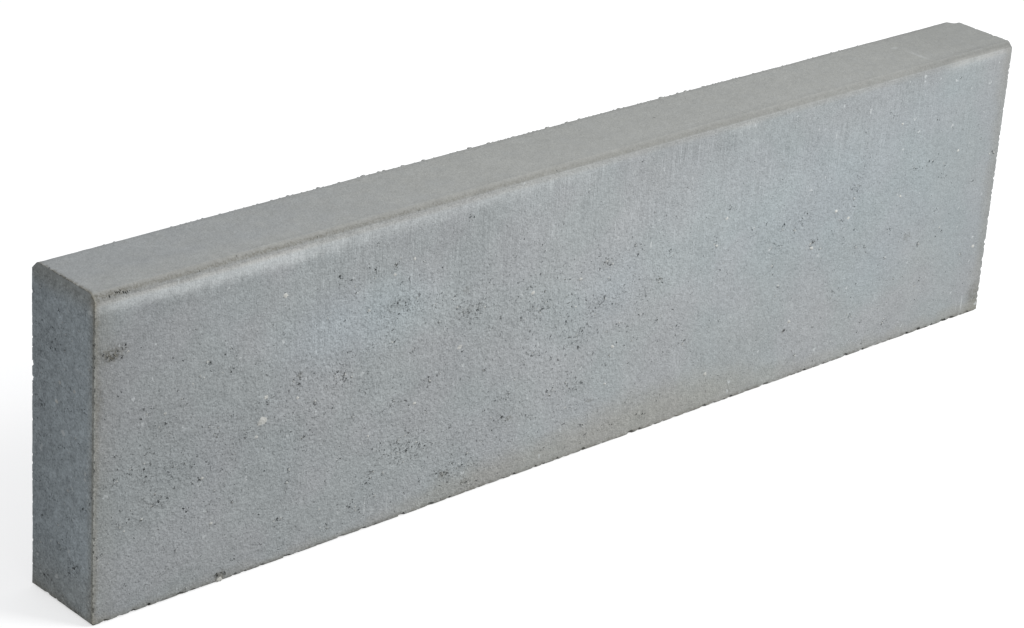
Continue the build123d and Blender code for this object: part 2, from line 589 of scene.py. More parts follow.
def addCrevice(clouds, grains, rng, face, u, v):  # small pits round part of a grain
    shape = pits["crevice"]
    radius = rng.uniform(*pits["grainRadius"]) * rng.uniform(*shape["shrink"])
    if rng.random() < shape["grains"]:
        grains.append((face, u, v, radius * shape["grainShare"], rng.uniform(*shape["grainTone"])))
    middle = rng.gauss(pits["creviceSide"], shape["turn"])
    sweep = rng.uniform(*shape["sweep"])
    steps = max(2, round(sweep * radius / shape["spacing"]))
    tone = rng.uniform(*shape["tone"])
    for step in range(steps):
        turn = middle + sweep * (step / (steps - 1) - 0.5)
        reach = radius * rng.uniform(*shape["reach"])
        swell = shape["middle"] - abs(2 * step / (steps - 1) - 1) * shape["taper"]
        across = rng.uniform(*pits["crevicePit"]) * swell
        tall = across * rng.uniform(*shape["tall"])
        cloud = clouds[step % len(clouds)]
        cloud.addOnFace(face, u + reach * math.cos(turn), v + reach * math.sin(turn), across, tall,
                        across * shape["deep"] + pits["deeper"], pits["lift"],
                        tone * rng.uniform(*shape["fade"]), fineness=1, lump=pits["lump"])


def openPlace(rng, face):  # somewhere on a face, on the front more often where it is open
    (wide, tall), margin = faces[face][4], pits["margin"]
    while True:
        u, v = rng.uniform(margin, wide - margin), rng.uniform(margin, tall - margin)
        if face != "front" or rng.random() * pits["openMost"] < patchWeight(u, v):
            return u, v


def addNibbles(clouds, rng):  # dark nibbles in the front bevel
    shape = pits["nibble"]
    for index, (u, radius) in enumerate(pits["bevelMarks"]):
        up = pits["bevelMarkUp"] + rng.uniform(-shape["stray"], shape["stray"])
        tall = radius * rng.uniform(*shape["tall"])
        cloud = clouds[index % len(clouds)]
        deep = radius * shape["deep"] + shape["deeper"]
        cloud.addOnFace("front", u, up, radius * shape["across"], tall, deep, pits["lift"],
                        rng.uniform(*shape["tone"]), fineness=1, lump=pits["lump"])


def scatterPits(clouds, grains, rng):
    nearTone = pits["nearTone"]
    for u, v, radius in pits["frontMarks"]:
        addMark(clouds, rng, "front", u, v, radius, pits["frontTone"])
    for u, v, radius in pits["nearMarks"]:
        addMark(clouds, rng, "near", u, v, radius,
                nearTone["small" if radius < nearTone["largeFrom"] else "large"])
    gatherPits(clouds, grains, rng, "front", pits["frontClusters"])
    gatherPits(clouds, grains, rng, "near", pits["nearClusters"])
    addNibbles(clouds, rng)
    for face, count in pits["crevices"].items():
        for _ in range(count):
            addCrevice(clouds, grains, rng, face, *openPlace(rng, face))
    for face, count in pits["count"].items():
        for _ in range(count):
            growth = (pits["largest"] - pits["smallest"]) * rng.random() ** pits["sizePower"]
            u, v = openPlace(rng, face)
            addPit(clouds, rng, face, u, v, pits["smallest"] + growth, pits["tone"])


chips = {
    "seed": 23,
    "tone": 0.25,
    # gap between chips and their radius, in millimetres
    "bottom": ((0.2, 5.0), (0.7, 2.2)),
    "bottomFront": ((0.1, 2.8), (0.8, 2.5)),
    "upright": ((0.1, 3.6), (0.5, 1.3)),
    "uprightBack": ((1.5, 10.0), (0.4, 0.9)),
    "topEnd": ((0.1, 2.2), (0.5, 1.15)),
    "stretch": 1.4,
    "longer": (0.7, 1.4),
    "across": (0.6, 1.0),
    "stray": 0.3,
    "fade": (0.4, 1.6),
    "lump": 0.28,
    "fineFrom": 1.1,
    "fromEnds": 3.0,
    "belowTop": 4 * mm,
    "singleLump": {2: 0.3, 3: 0.08},  # by fineness
    # one-off damage: place from the near front bottom corner, radii, fineness, tone
    "single": [((748.5, 61.0, 200.6), (8.5, 14.0, 4.6), 3, 0.15),  # corner lost at the far back
               ((0.6, 59.4, 137.5), (1.5, 1.6, 2.0), 2, 0.3), ((0.6, 59.4, 129.0), (1.5, 1.5, 1.6), 2, 0.3),
               # the two chips at the foot, 85 and 90 mm along, are dark with painted shade in the notch
               ((85.0, 0.6, 4.6), (2.0, 1.2, 1.3), 2, 0.9), ((90.4, 0.6, 4.4), (1.5, 1.0, 1.2), 2, 0.9),
               ((0.4, 0.4, 0.4), (2.8, 2.6, 2.2), 2, 0.2)],
}


def edgeChips(cloud, rng, start, end, along, kind):
    gap, radius = chips[kind]
    start, end = Vector(start), Vector(end)
    length = (end - start).length / mm
    walked = chips["fromEnds"]
    while walked < length - chips["fromEnds"]:
        reach = rng.uniform(*radius)
        radii = []
        for axis in range(3):
            if axis == along:
                share = chips["stretch"] * rng.uniform(*chips["longer"])
            else:
                share = rng.uniform(*chips["across"])
            radii.append(reach * mm * share)
        place = surface.find_nearest(start.lerp(end, walked / length))[0]
        place = place + Vector([rng.uniform(-chips["stray"], chips["stray"]) * mm for _ in range(3)])
        cloud.add(place, radii, chips["tone"] * rng.uniform(*chips["fade"]),
                  fineness=blobFineness(reach, chips["fineFrom"]), lump=chips["lump"])
        walked += reach * chips["stretch"] + rng.uniform(*gap)


def scatterChips(cloud, rng):
    (lowX, lowY, _), (highX, highY, highZ) = skinLow, skinHigh
    inset = chips["belowTop"]
    for place, radii, fineness, tone in chips["single"]:
        lump = chips["singleLump"][fineness]
        cloud.add(low + Vector(place) * mm, Vector(radii) * mm, tone, fineness, lump)
    for y, kind in ((lowY, "bottomFront"), (highY, "bottom")):
        edgeChips(cloud, rng, (lowX, y, 0), (highX, y, 0), 0, kind)
    for x, kind in ((lowX, "bottomFront"), (highX, "bottom")):
        edgeChips(cloud, rng, (x, lowY, 0), (x, highY, 0), 1, kind)
        edgeChips(cloud, rng, (x, lowY + inset, highZ), (x, highY - inset, highZ), 1, "topEnd")
        edgeChips(cloud, rng, (x, lowY, 0), (x, lowY, highZ - inset), 2, "upright")
        edgeChips(cloud, rng, (x, highY, 0), (x, highY, highZ - inset), 2, "uprightBack")


grit = {
    "seed": 37,
    # (along, radius) of the low crumbs on the back top edge
    "crumbs": [
        (158, 0.8), (170, 1.0), (192, 1.1), (207, 0.8), (225, 1.3), (237, 1.0), (241, 0.9), (255, 1.1),
        (271, 1.3), (307, 1.2), (322, 1.0), (342, 1.0), (370, 1.3), (386, 1.0), (397, 0.9), (430, 1.0),
        (450, 0.8), (467, 1.3), (482, 1.0), (489, 1.2), (505, 1.0), (522, 0.8), (110, 0.7), (560, 0.7),
    ],
    "fineCrumbs": 150,
    "crestTilt": 24.0,  # slope of the back top edge where it meets the sky, in degrees
    # (along, up, radius, tone) of pale stones in the front
    "frontStones": [
        (114.2, 94, 3.0, 0.75), (128, 167.3, 1.8, 0.9), (116.5, 108, 1.3, 0.9), (139, 101.5, 1.0, 0.9),
        (110.5, 85, 1.2, 0.6), (47.5, 117.5, 0.9, 0.6), (80, 40, 1.0, 0.6), (192.5, 62, 0.8, 0.9),
        (221, 167, 0.9, 1.0), (227, 73.5, 1.3, 0.8), (207, 160.5, 1.0, 0.6), (260, 101, 1.7, 0.6),
        (316.7, 121.7, 1.6, 0.85), (356, 121, 1.3, 0.85), (388, 67.5, 1.1, 1.0), (384, 43, 0.9, 0.7),
        (481, 132, 1.2, 0.9), (474, 115, 1.0, 0.8), (475, 25, 1.3, 0.8), (586, 113, 1.3, 0.95),
        (599, 105, 1.0, 0.9), (565.5, 91.5, 1.4, 0.8), (650, 109, 1.1, 0.9), (705, 130, 1.2, 0.95),
        (551, 42.5, 1.4, 0.7), (736, 52.5, 1.3, 0.8), (643, 162, 0.9, 0.8), (73.4, 70.3, 0.9, 0.9),
        (22.5, 161.5, 0.8, 0.7), (87.5, 1.9, 1.9, 1.0),
    ],
    # (from the front, up, radius, tone) in the near end
    "nearStones": [(36, 123.5, 1.4, 0.7), (33, 136, 1.1, 0.4), (19.3, 136, 1.2, 0.4), (25, 74, 1.0, 0.4)],
    "smallStones": 130,
    # spread along the edge, radius, stray and sink of the crumbs, and their radii as shares
    "crumb": {"along": (5, 735, 330), "radius": (0.4, 0.8), "stray": 0.3, "sink": 0.35,
              "shares": (1.5, 1.2, 0.8), "fineFrom": 0.8, "lump": 0.2},
    # depth and lift of the stones, with ranges as shares of the radius
    "front": {"across": (1.2, 1.6), "tall": (0.9, 1.2), "depth": 1.0, "lift": -0.6, "lump": 0.2},
    "near": {"across": 1.3, "tall": 1.2, "depth": 0.9, "lift": -0.6, "lump": 0.22},
    "grain": {"tall": (0.6, 1.0), "depth": 0.8, "lift": -0.6, "lump": 0.25},
    "small": {"faces": ("front", "front", "back", "near", "far"), "radius": (0.45, 0.85), "side": 4,
              "foot": 6, "head": 18, "tall": (0.6, 1.0), "depth": 0.7, "lift": -0.6, "tone": (0.2, 0.8),
              "lump": 0.3},
    "beside": {"radius": (0.55, 1.05), "spread": 0.6, "tall": (0.6, 1.0), "depth": 0.9, "lift": -0.5,
               "tone": (0.3, 0.75), "lump": 0.3},
}


def scatterCrumbs(cloud, rng):
    shape, stray = grit["crumb"], grit["crumb"]["stray"]
    inward = kerb["backBevel"] + kerb["shoulder"] * (halfTurn - math.sin(math.radians(grit["crestTilt"])))
    fine = [(rng.triangular(*shape["along"]), rng.uniform(*shape["radius"]))
            for _ in range(grit["fineCrumbs"])]
    for along, radius in grit["crumbs"] + fine:
        reach = radius * mm
        across = skinHigh.y - inward + rng.uniform(-stray, stray) * mm
        above = Vector((nearEnd + along * mm, across, high.z + rayHeight * mm))
        place = surface.ray_cast(above, -zDir)[0]
        cloud.add(place - zDir * shape["sink"] * reach, [reach * share for share in shape["shares"]], 0.0,
                  fineness=blobFineness(radius, shape["fineFrom"]), lump=shape["lump"])


def addStone(cloud, kind, face, u, v, across, tall, tone, fineness=2):
    shape = grit[kind]
    cloud.addOnFace(face, u, v, across, tall, shape["depth"], shape["lift"], tone, fineness=fineness,
                    lump=shape["lump"])


def scatterStones(cloud, grains, rng):
    shape = grit["front"]
    for u, v, radius, tone in grit["frontStones"]:
        across, tall = (radius * rng.uniform(*shape[side]) for side in ("across", "tall"))
        addStone(cloud, "front", "front", u, v, across, tall, tone)
    shape = grit["near"]
    for u, v, radius, tone in grit["nearStones"]:
        addStone(cloud, "near", "near", u, v, radius * shape["across"], radius * shape["tall"], tone)
    for face, u, v, radius, tone in grains:
        addStone(cloud, "grain", face, u, v, radius, radius * rng.uniform(*grit["grain"]["tall"]), tone)
    shape = grit["small"]
    for _ in range(grit["smallStones"]):
        face = rng.choice(shape["faces"])
        wide, faceTop = faces[face][4]
        reach = rng.uniform(*shape["radius"])
        u = rng.uniform(shape["side"], wide - shape["side"])
        v = rng.uniform(shape["foot"], faceTop - shape["head"])
        tall = reach * rng.uniform(*shape["tall"])
        addStone(cloud, "small", face, u, v, reach, tall, rng.uniform(*shape["tone"]), fineness=1)
    shape = grit["beside"]
    for centreU, centreV, halfU, halfV, _ in pits["frontClusters"]:  # pale grains beside the pits, raised a little; their pale tone is partly a painted highlight
        reach = rng.uniform(*shape["radius"])
        u = rng.gauss(centreU, halfU * shape["spread"])
        v = rng.gauss(centreV, halfV * shape["spread"])
        tall = reach * rng.uniform(*shape["tall"])
        addStone(cloud, "beside", "front", u, v, reach, tall, rng.uniform(*shape["tone"]), fineness=1)


def keepLargest(piece):  # drop crumbs that the cuts have set loose
    makeActive(piece)
    bpy.ops.mesh.separate(type="LOOSE")
    parts = sorted(bpy.context.selected_objects, key=lambda part: len(part.data.vertices))
    for part in parts[:-1]:
        bpy.data.objects.remove(part, do_unlink=True)
    parts[-1].name = "kerb_concrete"
    print("loose crumbs dropped", len(parts) - 1)
    return parts[-1]


# the pore attribute is how much of the pit colour, painted shade, a face of a pit or chip takes
for attribute in ("pore", "stone"):
    block.data.attributes.new(attribute, "FLOAT", "FACE")
chipRng, pitRng, gritRng = (random.Random(part["seed"]) for part in (chips, pits, grit))
crumbCloud = BlobCloud("crumb_grit", "stone", gritRng)
scatterCrumbs(crumbCloud, gritRng)
crumbCloud.joinTo(block, "UNION")
chipCloud = BlobCloud("chip_cutters", "pore", chipRng)
scatterChips(chipCloud, chipRng)
chipCloud.joinTo(block, "DIFFERENCE")
pitClouds = [BlobCloud("pit_cutters", "pore", pitRng) for _ in range(pits["passes"])]
grainPlaces = []
scatterPits(pitClouds, grainPlaces, pitRng)
for pitCloud in pitClouds:
    pitCloud.joinTo(block, "DIFFERENCE")
stoneCloud = BlobCloud("pale_stones", "stone", gritRng)
scatterStones(stoneCloud, grainPlaces, gritRng)
stoneCloud.joinTo(block, "UNION")
block = keepLargest(block)

# keep every point inside the CAD box, and note how open the texture is there
points = np.empty(len(block.data.vertices) * 3)
block.data.vertices.foreach_get("co", points)
points = np.clip(points.reshape(-1, 3), np.array(low), np.array(high))
block.data.vertices.foreach_set("co", points.ravel())
alongMm, inwardMm, upMm = ((points - np.array(low)) / mm).T
fromEnd = np.minimum(points[:, 0] - low.x, high.x - points[:, 0])
openness = np.where(points[:, 1] < 0, patchWeight(alongMm, upMm), pits["openness"]["back"])
nearOpenness = np.where(points[:, 0] < 0, clusterWeight(inwardMm, upMm, pits["nearClusters"]), 0)
endOpenness = pits["openness"]["end"] + nearOpenness
openness = np.where(fromEnd < pits["openness"]["endDepth"], endOpenness, openness)
block.data.attributes.new("openness", "FLOAT", "POINT").data.foreach_set("value", openness)
block.data.update()
makeActive(block)
bpy.ops.object.shade_smooth_by_angle(angle=math.radians(kerb["smoothAngle"]))
print("pits, chips and grit made, triangles", sum(len(side.vertices) - 2 for side in block.data.polygons))


# the concrete's finish, with places and lengths in millimetres
def shade(red, green, blue):  # a colour as it reads on screen, 0 to 255
    return tuple(((part / 255 + 0.055) / 1.055) ** 2.4 for part in (red, green, blue)) + (1.0,)


finish = {
    "cool": shade(154, 162.3, 165),
    "warm": shade(158.3, 161.4, 161.6),
    # cooler clouds on the front: along, up, half width, half height, strength
    "coolClouds": [
        (600, 125, 250, 95, 0.9), (180, 138, 95, 34, 0.95), (722, 66, 50, 50, 0.5), (630, 58, 50, 36, 0.5),
        (375, 104, 60, 36, 0.45), (690, 180, 60, 22, 0.4),
    ],
    "topCool": shade(157, 160, 160),
    "topWarm": shade(161.5, 163, 159.6),
    # the near end, a little bluer than the front: a painted blue cast of its shade
    "end": shade(154, 162.3, 166),
    "lilac": shade(159, 161.6, 165),
    "cyan": shade(154, 162.5, 163.5),
    "hueShare": 0.3,
    "pale": shade(194, 198, 198),
    # the band below the arris is pale skin and a painted highlight of a lip that catches the light
    "bandPale": shade(189, 193, 193),
    "bandWarm": shade(193, 192, 187),
    "warmEdge": shade(162, 162, 158),
    "beige": shade(154, 153, 147),
    "clay": shade(128, 122, 106),
    "footClay": shade(146, 139, 121),
    "soil": shade(92, 88, 76),
    # the pit colour is painted shade, laid in the pits, pores and crevices; the chips take a little of it
    # too
    "pit": shade(66, 67, 67),
    "stoneGrey": shade(158, 160, 158),
    "stonePale": shade(212, 211, 204),
    # noise per millimetre, octaves past the first and swing of the tone
    "grain": [(1.0, 2.0, 0.50), (0.40, 1.0, 0.28), (0.14, 1.0, 0.20), (0.035, 1.0, 0.14)],
    "grainStep": (37.0, 11.0, 53.0),  # keeps the layers apart
    "grainRough": 0.6,
    "topMottle": [(0.28, 2.0, 0.20), (0.10, 2.0, 0.13)],
    "mottlePlace": (70, 20, 5),
    "calmStops": [
        (0, 1.0), (270, 1.0), (350, 0.84), (440, 0.86), (600, 0.86), (660, 0.76), (710, 0.62), (750, 0.58),
    ],
    "grainCell": 3.0,  # size of the coarse grains with crevices between them
    "flakeShare": (0.991, 0.995),  # cells above this are pale flakes
    "sandCell": 1.25,
    "sandSwing": 0.20,
    "sandRelief": -0.22,
    # strengths along the front, by place from the near end
    # tone along the front; its darker near end is partly painted shade, where the key light falls off
    "toneAndShadeStops": [
        (0, 0.86), (60, 0.895), (150, 0.98), (235, 0.995), (262, 0.975), (290, 0.98), (320, 1.015),
        (450, 1.003), (620, 0.96), (700, 0.915), (750, 0.87),
    ],
    "bandStops": [
        (0, 0.74), (20, 0.81), (60, 0.99), (130, 0.96), (152, 0.7), (200, 0.52), (250, 0.39), (300, 0.4),
        (340, 0.28), (400, 0.06), (475, 0.03), (486, 0.5), (498, 0.45), (506, 0.03), (680, 0.04),
        (692, 0.4), (738, 0.4), (748, 0.05),
    ],
    "bandFoot": [(0, 0.31), (60, 0.13), (140, 0.12), (200, 0.34), (300, 0.46), (480, 0.80), (750, 0.70)],
    "lineStops": [
        (0, 0.95), (18, 1.0), (32, 0.7), (60, 0.7), (140, 0.74), (200, 0.6), (300, 0.45), (400, 0.3),
        (470, 0.25), (560, 0.1), (750, 0.0),
    ],
    "footStops": [
        (0, 0.45), (60, 0.35), (200, 0.45), (260, 0.8), (330, 0.95), (420, 1.0), (480, 0.95), (530, 0.7),
        (580, 0.5), (700, 0.5), (750, 0.9),
    ],
    "footHeight": [
        (0, 0.22), (200, 0.24), (260, 0.6), (330, 0.7), (400, 1.0), (480, 0.95), (525, 0.65), (570, 0.36),
        (750, 0.32),
    ],  # share of 40 mm
    "topStops": [
        (0, 1.0), (150, 0.995), (230, 0.985), (300, 0.975), (365, 0.962), (435, 0.94), (505, 0.922),
        (575, 0.92), (645, 0.88), (711, 0.81), (750, 0.795),
    ],
    # painted shade on the bevel, by place from the near end
    "bevelShadeStops": [
        (0, 0.78), (220, 0.765), (330, 0.745), (400, 0.715), (640, 0.72), (690, 0.645), (750, 0.62),
    ],
    # faint pale marks on the top: along, inward, half length, half width, strength
    "topMarks": [(672, 18, 2.5, 13, 0.2), (669, 37, 4, 2.5, 0.26)],
    # lighter and darker clouds on the front: along, up, half width, half height, gain
    "toneClouds": [
        (40, 38, 95, 42, 0.095), (190, 136, 120, 30, 0.11), (95, 160, 75, 42, 0.06),
        (425, 118, 200, 60, 0.04), (235, 184, 66, 30, -0.05), (425, 186, 85, 18, -0.035),
        (12, 150, 45, 50, -0.035), (662, 191, 40, 6, -0.03), (510, 34, 75, 26, -0.05),
        (335, 70, 60, 26, 0.04), (520, 138, 110, 26, 0.025), (265, 160, 40, 40, -0.03),
        (225, 40, 40, 18, 0.03), (645, 193, 62, 7, -0.05), (722, 184, 34, 9, 0.035),
        (720, 150, 50, 36, -0.025), (262, 92, 30, 22, -0.03),
    ],
    # strength of the mould's drag lines, by place and by height
    "dragAlong": [(0, 0.35), (100, 0.45), (150, 0.9), (330, 1.0), (450, 0.9), (600, 0.6), (750, 0.5)],
    "dragUp": [(0, 0.3), (60, 0.25), (120, 0.4), (165, 0.9), (188, 1.0), (194, 0.2)],
    # brown stains on the front, with a painted notch shadow among them: along, up, half width, half height,
    # strength
    "stains": [
        (13, 162.5, 13, 7, 0.42), (12, 161, 7, 3.4, 0.36), (140, 115, 3.2, 3, 0.45),
        (262.5, 136.7, 4, 3, 0.40), (304, 42, 6, 2, 0.45), (253, 19, 5, 3.5, 0.45), (371, 35, 5, 1.8, 0.35),
        # the stain 87 mm along and 4 mm up is a painted shadow in the notch at the foot
        (378, 126, 7, 4, 0.22), (425, 104, 3, 1.8, 0.40), (662, 77, 6, 3.5, 0.25), (87, 4, 5.5, 4, 0.60),
        (566, 95.5, 3, 1.6, 0.45), (547, 37, 3, 1.6, 0.45), (210, 141, 12, 6, 0.18),
        (267, 124, 12, 4, 0.15), (6, 172, 10, 22, 0.12), (4, 135, 4, 22, 0.30), (744, 15, 12, 12, 0.40),
        (270, 9, 6, 2, 0.35), (207, 166, 3, 2, 0.35),
    ],
    # faint line across the near end, with its place from the front
    "endSeam": [(14, 149.6, 13, 0.9, 0.22)],
    "cloudCore": 0.1,  # part of a soft cloud that has its full strength
    "bandHeights": (10.0, 183.0),  # reach and lowest place of the band's lower edge
    "lineUp": 196.6,  # height of the dark line in the bevel
    "footReach": 40.0,  # tallest brown foot
    "ragging": {"noise": 0.5, "stains": 5.0, "grains": 2.2},  # scale and reach of the bent outlines
    # shares of the ragged and frayed noises that bend the foot, the rims and the crest
    "footRagged": 0.8,
    "rimRagged": 0.3,
    "crestFrayed": 0.35,
    # pale streaks on the front, the same way as the stains
    "streaks": [
        (192.5, 16, 0.55, 12, 0.65), (209.7, 15, 0.5, 9, 0.50), (170, 14, 0.5, 9, 0.25),
        (577.5, 167.5, 0.7, 4, 0.55), (731.5, 10, 0.8, 7, 0.60), (726, 9, 0.6, 5, 0.35),
        (197, 12, 0.4, 7, 0.30), (110.5, 85, 2.4, 0.8, 0.35),
    ],
}


# where a look starts and ends, in millimetres or in the share it follows, and its values if not 0 and 1
spans = {
    # zones
    "top": (195.0, 196.2), "near": (2.2, 1.2), "front": (3.4, 2.2), "atFront": (5.4, 4.0),
    "topCalm": (0.0, 1.0, 1.0, 0.5), "nearGrain": (0.0, 1.0, 1.0, 1.65),
    # the plain faces
    "hue": (0.36, 0.64), "warmEdge": (190.5, 195.0, 0.0, 0.5), "warmEdgeAlong": (590.0, 720.0, 1.0, 0.3),
    "veilUp": (150.0, 190.0), "veilAlong": (300.0, 450.0),
    "topWarmAlong": (30.0, 320.0), "topWarmFront": (30.0, 4.0, 0.0, 0.65),
    # topFrontGleam is a painted highlight: the top a little brighter towards its front edge
    "bevelBend": (3.3, 6.4), "topFrontGleam": (26.0, 8.0, 1.0, 1.025),
    "endShade": (2.0, 58.0, 1.05, 0.86), "endTop": (199.2, 198.4),
    # grain, pores and drag lines
    "dragPatch": (0.4, 0.62, 0.25, 1.0), "finePore": (0.0, -0.08), "coarsePore": (0.0, -0.05),
    "creviceBreak": (0.0, 0.08), "creviceGap": (0.14, 0.03), "flakeGap": (0.06, 0.16),
    # the pale band and the bevel
    "bandRun": (40.0, 220.0, -3.0, -7.0), "bandRise": (0.0, 7.5), "bandDrop": (500.0, 690.0, 0.0, 2.2),
    "bandFlaky": (0.32, 0.6, 0.72, 1.0), "bandBrushed": (0.3, 0.62, 0.72, 1.08), "bandTop": (196.0, 191.8),
    "bandWarm": (190.5, 194.5), "bevelFoot": (195.6, 196.8), "bevelTop": (199.5, 198.6),
    "bevelAlong": (60.0, 600.0, 0.46, 0.1), "lineBreak": (0.4, 0.6, 0.2, 1.0),
    "lineSway": (30.0, 170.0, 2.0, 1.0), "lineWidth": (12.0, 60.0, 2.1, 1.6), "line": (1.0, 0.2),
    # dirt along the edges
    "fleck": (0.36, 0.6, 0.3, 1.0), "foot": (1.0, 0.25), "footRim": (5.0, 0.8),
    "nearRim": (6.0, 0.8, 0.0, 0.3), "warmRim": (22.0, 2.0, 0.0, 0.14),
    "arrisAlong": (2.6, 1.0), "arrisInward": (6.5, 2.6), "arrisFront": (4.6, 1.6),
    "arrisUp": (150.0, 182.0, 0.35, 1.0), "endRim": (9.0, 2.5, 0.0, 0.2),
    "farRim": (734.0, 749.0), "brow": (182.0, 196.0), "sole": (42.0, 4.0),
    "crestUp": (198.0, 199.4), "crestAlong": (4.2, 1.4), "crestPatch": (0.38, 0.6),
    # marks and stones
    "stainPatch": (0.35, 0.6, 0.35, 1.0), "stone": (0.1, 0.3, 0.0, 0.7),
    "roughness": (0.0, 1.0, 0.93, 0.84),
}

# noises by name: scale per millimetre, octaves past the first, roughness, stretch and offset
plain, centred = (1, 1, 1), (0, 0, 0)
noiseKinds = {
    "drift": (0.02, 2.0, 0.5, plain, centred),
    "hue": (0.022, 1.0, 0.5, plain, (90, 40, 310)),
    "topWarm": (0.08, 2.0, 0.5, plain, (15, 260, 0)),
    "bevelFleck": (0.5, 2.0, 0.6, plain, centred),
    "dragFine": (1.0, 1.0, 0.5, (1.7, 1.7, 0.035), centred),
    "dragPatch": (1.0, 2.0, 0.5, (0.06, 0.06, 0.04), centred),
    "coarsePore": (0.55, 2.0, 0.6, (1, 1, 1.15), (510, 77, 130)),
    "creviceBreak": (0.3, 2.0, 0.6, plain, (203, 61, 17)),
    "drip": (1.0, 2.0, 0.5, (0.45, 0.45, 0.03), centred),
    "bandFlaky": (0.1, 2.0, 0.5, plain, centred),
    "bandBrushed": (1.0, 2.0, 0.5, (1.1, 1.1, 0.1), centred),
    "lineBreak": (0.75, 3.0, 0.65, plain, centred),
    "lineSway": (0.6, 1.0, 0.5, plain, centred),
    "ragged": (0.07, 3.0, 0.5, plain, centred),
    "fleck": (0.3, 2.0, 0.5, plain, centred),
    "frayed": (0.6, 2.0, 0.6, plain, centred),
    "endCloud": (0.16, 3.0, 0.6, plain, centred),
    "crestPatch": (0.35, 2.0, 0.5, plain, centred),
    "stainPatch": (0.7, 2.0, 0.5, plain, centred),
}

# how far a noise swings, and how much of a colour is laid on
swings = {"drift": 0.9, "topWarm": 0.9, "bevelFleck": 0.36, "drag": 0.8, "ragged": 14.0, "frayed": 5.0,
          "endCloud": 0.6, "drip": 0.8, "lineSway": 1.0}
shares = {"warmBase": 0.95, "veil": -0.05, "bandCalm": -0.4, "line": 0.65, "foot": 0.34, "footRim": 0.55,
          "arris": 0.3, "farRim": 0.24, "brow": 0.36, "sole": 0.22, "crest": 0.55, "stainMost": 0.8,
          "flake": 0.6, "pores": 0.6, "crevice": 0.6, "pit": 0.48, "finePore": 0.7}
# gain by openness and start of the fine pores, the coarse pores and the crevices
poreEdges = {"fine": (0.045, 0.338), "coarse": (0.05, 0.285), "crevice": (-0.09, 0.73), "most": 2.0}
relief = {"open": (1.6, 0.6, 0.25), "fine": 0.3, "crevice": -0.3, "depth": mm, "gloss": 0.3}


def signed(desk, value, gain):  # a noise of 0 to 1 swung about zero
    return desk.math("MULTIPLY_ADD", value, gain, -gain / 2)


def total(desk, parts):
    result = parts[0]
    for part in parts[1:]:
        result = desk.math("ADD", result, part)
    return result


def product(desk, *parts):
    result = parts[0]
    for part in parts[1:]:
        result = desk.math("MULTIPLY", result, part)
    return result


def inverse(desk, value):
    return desk.math("SUBTRACT", 1.0, value)


def span(desk, value, name):
    return desk.ramp(value, *spans[name])


def patches(desk, place, name):
    scale, detail, rough, stretch, offset = noiseKinds[name]
    if stretch != plain or offset != centred:
        place = desk.stretch(place, stretch, offset)
    return desk.noise(place, scale, detail, rough)


def swung(desk, place, name):
    return signed(desk, patches(desk, place, name), swings[name])


def lay(desk, mask, name, colour, over):  # a named share of a colour over another
    return desk.mixColour(desk.math("MULTIPLY", mask, shares[name]), colour, finish[over])


def byStops(desk, value, length, stops):  # strength along a length, from listed stops
    ramp = desk.add("ShaderNodeValToRGB", {0: desk.math("DIVIDE", value, length)})
    elements = ramp.color_ramp.elements
    for index, (place, strength) in enumerate(stops):
        if index < 2:  # a new ramp has two
            element = elements[index]
            element.position = place / length
        else:
            element = elements.new(place / length)
        element.color = (strength, strength, strength, 1.0)
    return ramp.outputs["Color"]


def alongStops(desk, zone, name):
    return byStops(desk, zone["along"], longSide, finish[name])


def spotMask(desk, plane, spot, core=0.3):
    along, up, halfAlong, halfUp, strength = spot
    moved = desk.stretch(plane, (1 / halfAlong, 1 / halfUp, 1.0), (-along / halfAlong, -up / halfUp, 0.0))
    reach = desk.add("ShaderNodeVectorMath", {0: moved}, operation="LENGTH").outputs["Value"]
    return desk.ramp(reach, 1.0, core, 0.0, strength)


def spotsOf(desk, plane, name, **settings):
    return total(desk, [spotMask(desk, plane, spot, **settings) for spot in finish[name]])


def flatPlace(desk, first, second):
    return desk.add("ShaderNodeCombineXYZ", {0: first, 1: second}).outputs[0]


def bentPlace(desk, bend, reach, place):
    return desk.add("ShaderNodeVectorMath", {0: bend, 1: (reach,) * 3, 2: place},
                    operation="MULTIPLY_ADD").outputs[0]


def findZones(desk):
    ragging = finish["ragging"]
    place = desk.stretch(desk.add("ShaderNodeTexCoord").outputs["Object"], (1 / mm,) * 3, -low / mm)
    along, inward, up = desk.add("ShaderNodeSeparateXYZ", {0: place}).outputs
    top = span(desk, up, "top")
    sides = inverse(desk, top)
    bend = desk.add("ShaderNodeTexNoise", {"Vector": place, "Detail": 1.0, "Scale": ragging["noise"]})
    bend = desk.add("ShaderNodeVectorMath", {0: bend.outputs["Color"], 1: (0.5, 0.5, 0.5)},
                    operation="SUBTRACT").outputs[0]
    ragged = bentPlace(desk, bend, ragging["stains"], place)
    raggedAlong, _, raggedUp = desk.add("ShaderNodeSeparateXYZ", {0: ragged}).outputs
    zone = {
        "place": place, "along": along, "inward": inward, "up": up, "top": top, "sides": sides,
        "near": span(desk, along, "near"),
        "front": product(desk, span(desk, inward, "front"), sides),
        "atFront": span(desk, inward, "atFront"),
        "plane": flatPlace(desk, raggedAlong, raggedUp),
        "straight": flatPlace(desk, along, up),
        "coarse": bentPlace(desk, bend, ragging["grains"], place),
        "open": desk.add("ShaderNodeAttribute", attribute_name="openness").outputs["Fac"],
        "drip": patches(desk, place, "drip"),
        "sand": desk.add("ShaderNodeTexVoronoi", {"Vector": place, "Scale": 1 / finish["sandCell"]}),
    }
    zone["band"] = bandMask(desk, zone)
    # the trowelled top, the pale band and the far end are smoother
    zone["calm"] = product(desk, span(desk, top, "topCalm"), alongStops(desk, zone, "calmStops"),
                           desk.math("MULTIPLY_ADD", zone["band"], shares["bandCalm"], 1.0))
    return zone


